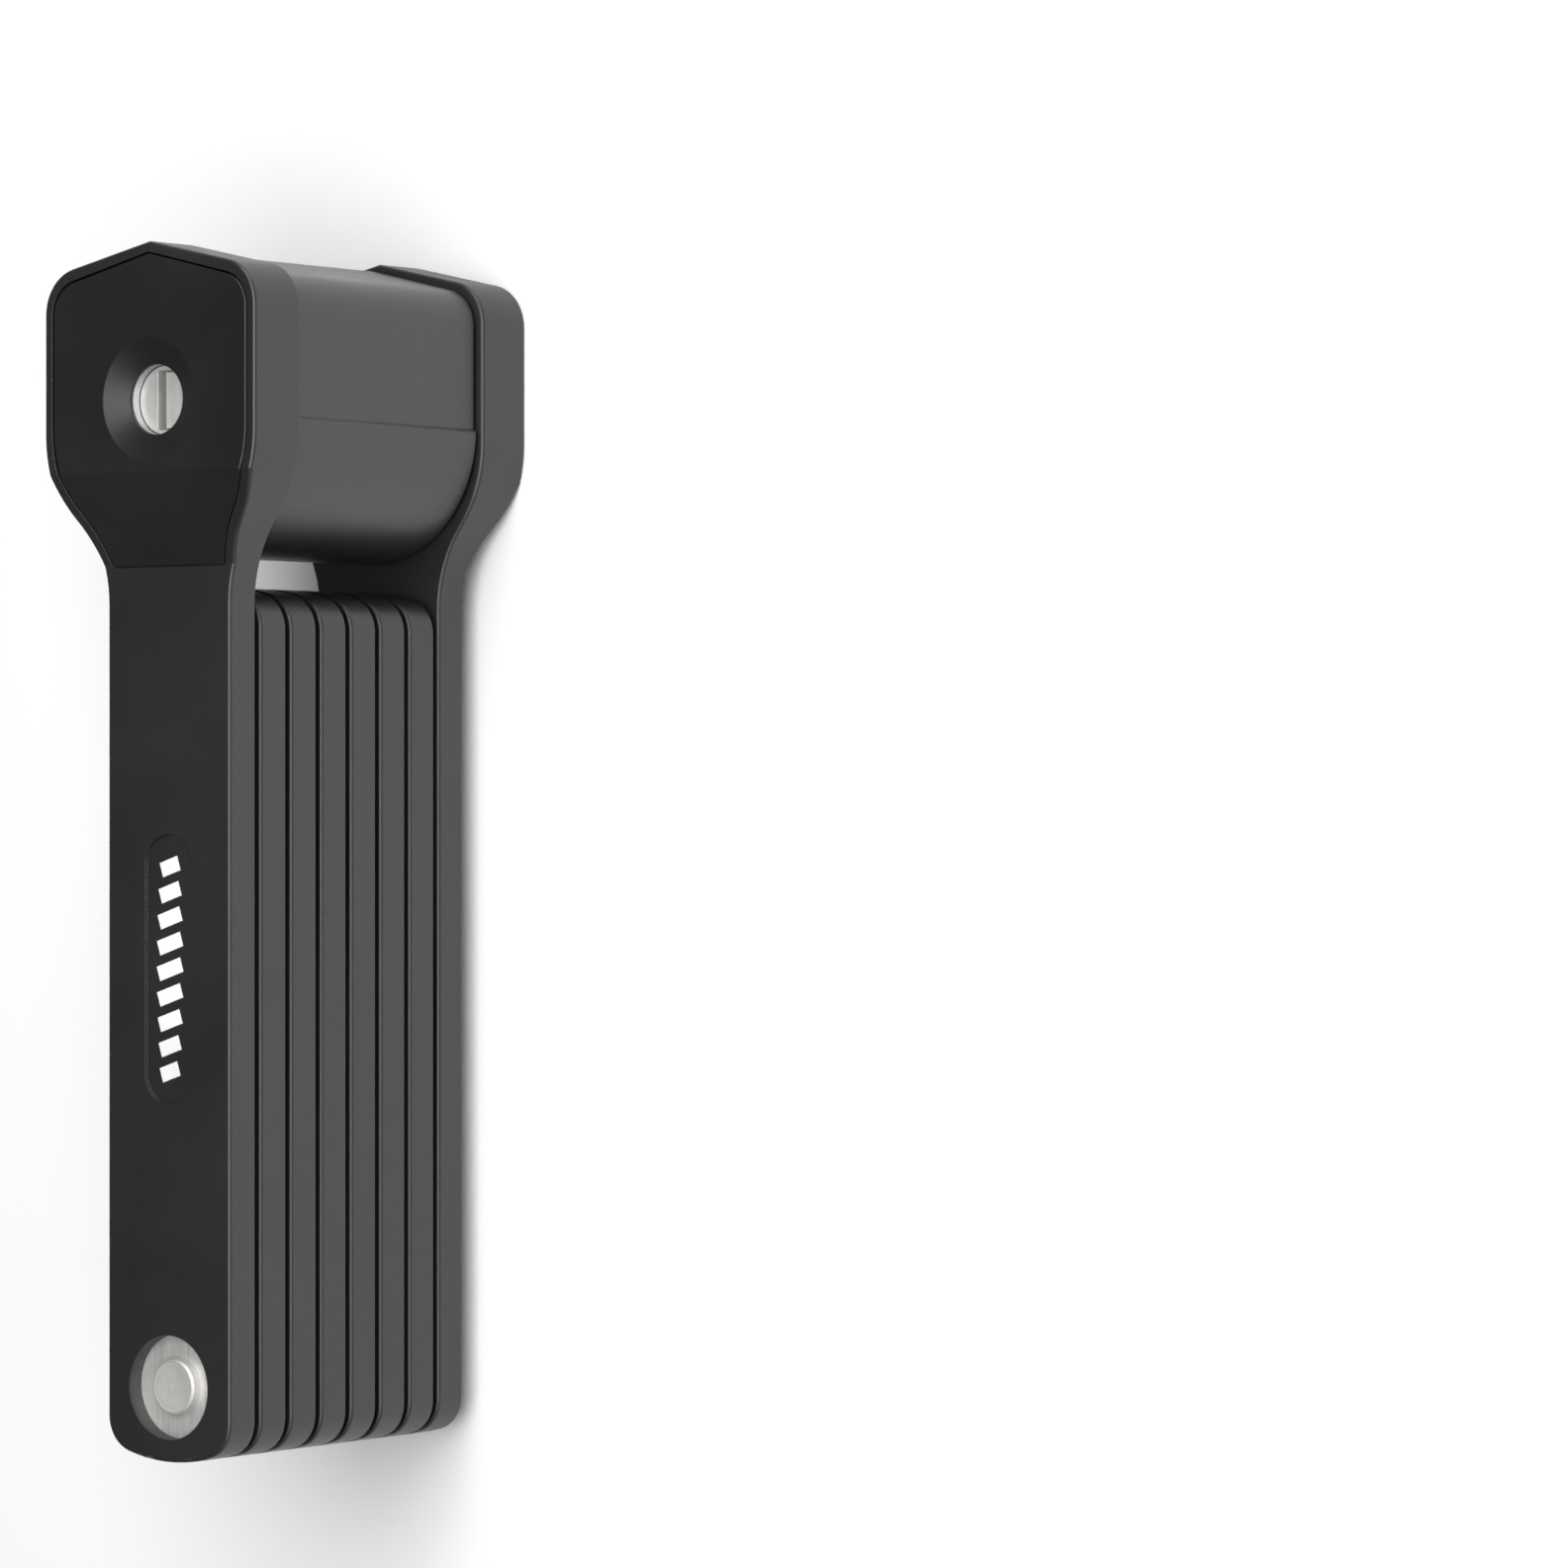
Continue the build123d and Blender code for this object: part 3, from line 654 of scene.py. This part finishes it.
class FinishPlates(bpy.types.Operator):
    """Bare steel in the pockets, with turned rivets"""

    bl_idname = "lock.finish_plates"
    bl_label = "Finish plates and rivets"

    def execute(self, context):
        colours = context.scene.lock_colours
        ground = brushed_metal(
            "plate_ground", colours.steel, rough=0.46, depth=0.01 * MM, metal=0.75
        )
        turned = {"rough": 0.5, "depth": 0.008 * MM, "metal": 0.75}
        low = turned_steel("rivet_turned_low", colours.rivet, LOW_RIVET_X, **turned)
        top = turned_steel("rivet_turned_top", colours.rivet, TOP_RIVET_X, **turned)
        coat(PLATES, ground)
        coat([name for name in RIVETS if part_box(name)[0].x < 0], low)
        coat([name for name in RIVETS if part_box(name)[0].x > 0], top)
        return {"FINISHED"}


class FinishBody(bpy.types.Operator):
    """Coated lock body with its slot insert and screws"""

    bl_idname = "lock.finish_body"
    bl_label = "Finish lock body"

    def execute(self, context):
        colours = context.scene.lock_colours
        powder = plastic(
            "body_coat", colours.body, rough=0.36, fineness=2000.0, depth=0.006 * MM, gloss=0.8
        )
        dark = brushed_metal(
            "insert_dark", colours.insert, rough=0.42, depth=0.01 * MM, metal=0.6
        )
        black = turned_steel("screw_black", colours.screw, LOCK_X, rough=0.4, depth=0.01 * MM)
        coat(["housing_cap", "housing_round"], powder)
        coat(["slot_insert"], dark)
        coat(["housing_screws"], black)
        return {"FINISHED"}


class FinishCylinder(bpy.types.Operator):
    """Key cylinder, bolt and latch stud"""

    bl_idname = "lock.finish_cylinder"
    bl_label = "Finish key cylinder"

    def execute(self, context):
        colours = context.scene.lock_colours
        nickel = brushed_metal(
            "plug_nickel", colours.plug, rough=0.48, depth=0.008 * MM, metal=0.75
        )
        machined = {"rough": 0.3, "depth": 0.01 * MM}
        brass = turned_steel("works_brass", colours.brass, LOCK_X, **machined)
        steel = turned_steel("works_steel", colours.works, LOCK_X, **machined)
        coat(["key_plug", "dust_shutter"], nickel)
        coat(BRASS_WORKS, brass)
        coat(STEEL_WORKS, steel)
        return {"FINISHED"}


class PrintLabel(bpy.types.Operator):
    """White dashes printed in the front arm's recess"""

    bl_idname = "lock.print_label"
    bl_label = "Print label"

    def execute(self, context):
        label = context.scene.lock_label
        white = context.scene.lock_colours.print_white
        ink = plastic("label_ink", white, rough=0.5, fineness=3000.0, depth=0.004 * MM)
        place = (label.centre, 0.0, FRONT_BAR - label.sunk + label.ink / 2)
        piece = grow(
            "label_dashes",
            dashes_tree(),
            Count=label.count,
            Spacing=label.spacing,
            Size=(label.width, label.height, label.ink),
            Slant=label.slant,
            Place=place,
            Material=ink,
        )
        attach(piece, "front_arm")
        return {"FINISHED"}


class LayPads(bpy.types.Operator):
    """Smooth pads in the recesses of the links"""

    bl_idname = "lock.lay_pads"
    bl_label = "Lay recess pads"

    def execute(self, context):
        pad = context.scene.lock_pads
        tree = pad_tree()
        # Pad colour is the pads' own dark plastic plus painted sheen, lighter than the jacket
        dark = context.scene.lock_colours.pad
        satin = plastic("pad_satin", dark, rough=0.3, fineness=3600.0, depth=0.004 * MM)
        sunk = context.scene.lock_label.sunk
        for name in JACKETS:
            body = name[: -len("_jacket")]
            if not body.startswith("link"):
                continue
            low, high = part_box(name)
            piece = grow(
                f"pad_{body}",
                tree,
                Length=pad.length,
                Width=pad.width,
                Thickness=pad.thick,
                Place=((low.x + high.x) / 2, 0.0, high.z - sunk),
                Material=satin,
            )
            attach(piece, body)
        return {"FINISHED"}


def softbox(name, place, aim, size, power):
    """Square area light turned towards a point."""
    data = bpy.data.lights.new(name, "AREA")
    data.shape = "RECTANGLE"
    data.size, data.size_y = size
    data.energy = power
    lamp = bpy.data.objects.new(name, data)
    lamp.location = place
    lamp.rotation_euler = (Vector(aim) - Vector(place)).to_track_quat("-Z", "Y").to_euler()
    bpy.context.scene.collection.objects.link(lamp)


class SetStage(bpy.types.Operator):
    """Pale floor, soft lights and the camera"""

    bl_idname = "lock.set_stage"
    bl_label = "Set stage"

    def execute(self, context):
        stage = context.scene.lock_stage
        half = stage.floor_size / 2
        mesh = bpy.data.meshes.new("floor")
        corners = [(-half, -half, 0), (half, -half, 0), (half, half, 0), (-half, half, 0)]
        mesh.from_pydata([Vector(corner) for corner in corners], [], [(0, 1, 2, 3)])
        floor = bpy.data.objects.new("floor", mesh)
        context.scene.collection.objects.link(floor)
        material, _, shader = blank_material("floor_paper")
        shader.inputs["Base Color"].default_value = (PAPER_GREY, PAPER_GREY, PAPER_GREY, 1)
        shader.inputs["Roughness"].default_value = PAPER_ROUGH
        mesh.materials.append(material)

        for name, place, aim, size, share in SOFTBOXES:
            softbox(name, place, aim, size, stage.key_power * share)

        world = bpy.data.worlds.new("studio")
        context.scene.world = world
        world.use_nodes = True
        background = world.node_tree.nodes["Background"]
        background.inputs["Color"].default_value = (1, 1, 1, 1)
        background.inputs["Strength"].default_value = WORLD_STRENGTH
        context.scene.view_settings.view_transform = "Standard"

        data = bpy.data.cameras.new("camera")
        data.lens = stage.lens
        data.clip_end = CLIP_END
        camera = bpy.data.objects.new("camera", data)
        context.scene.collection.objects.link(camera)
        back = Vector((0, -sin(stage.tilt), cos(stage.tilt)))
        up = Vector((1, 0, 0))
        right = up.cross(back)
        turn = Matrix((right, up, back)).transposed()
        ahead, aside, above = CAMERA_SHIFT
        eye = (LOCK_X + ahead, aside, FRONT_INNER + above)
        camera.matrix_world = Matrix.Translation(eye) @ turn.to_4x4()
        context.scene.camera = camera
        return {"FINISHED"}


class LockPanel(bpy.types.Panel):
    """Buttons for each piece of the lock"""

    bl_idname = "VIEW3D_PT_folding_lock"
    bl_label = "Folding lock"
    bl_space_type = "VIEW_3D"
    bl_region_type = "UI"
    bl_category = "Folding lock"

    def draw(self, context):
        for operator in OPERATORS:
            self.layout.operator(operator.bl_idname)


SETTINGS = {
    "lock_label": LabelSettings,
    "lock_pads": PadSettings,
    "lock_colours": ColourSettings,
    "lock_stage": StageSettings,
}
OPERATORS = [
    FinishJackets,
    FinishCovers,
    FinishPlates,
    FinishBody,
    FinishCylinder,
    PrintLabel,
    LayPads,
    SetStage,
]


def register():
    """Register the settings, operators and panel."""
    for name, group in SETTINGS.items():
        bpy.utils.register_class(group)
        setattr(bpy.types.Scene, name, PointerProperty(type=group))
    for operator in OPERATORS:
        bpy.utils.register_class(operator)
    bpy.utils.register_class(LockPanel)


def unregister():
    """Undo register."""
    bpy.utils.unregister_class(LockPanel)
    for operator in reversed(OPERATORS):
        bpy.utils.unregister_class(operator)
    for name, group in SETTINGS.items():
        delattr(bpy.types.Scene, name)
        bpy.utils.unregister_class(group)


def main():
    """Build everything in order."""
    register()
    for operator in OPERATORS:
        family, action = operator.bl_idname.split(".")
        getattr(getattr(bpy.ops, family), action)()


if __name__ == "__main__":
    main()
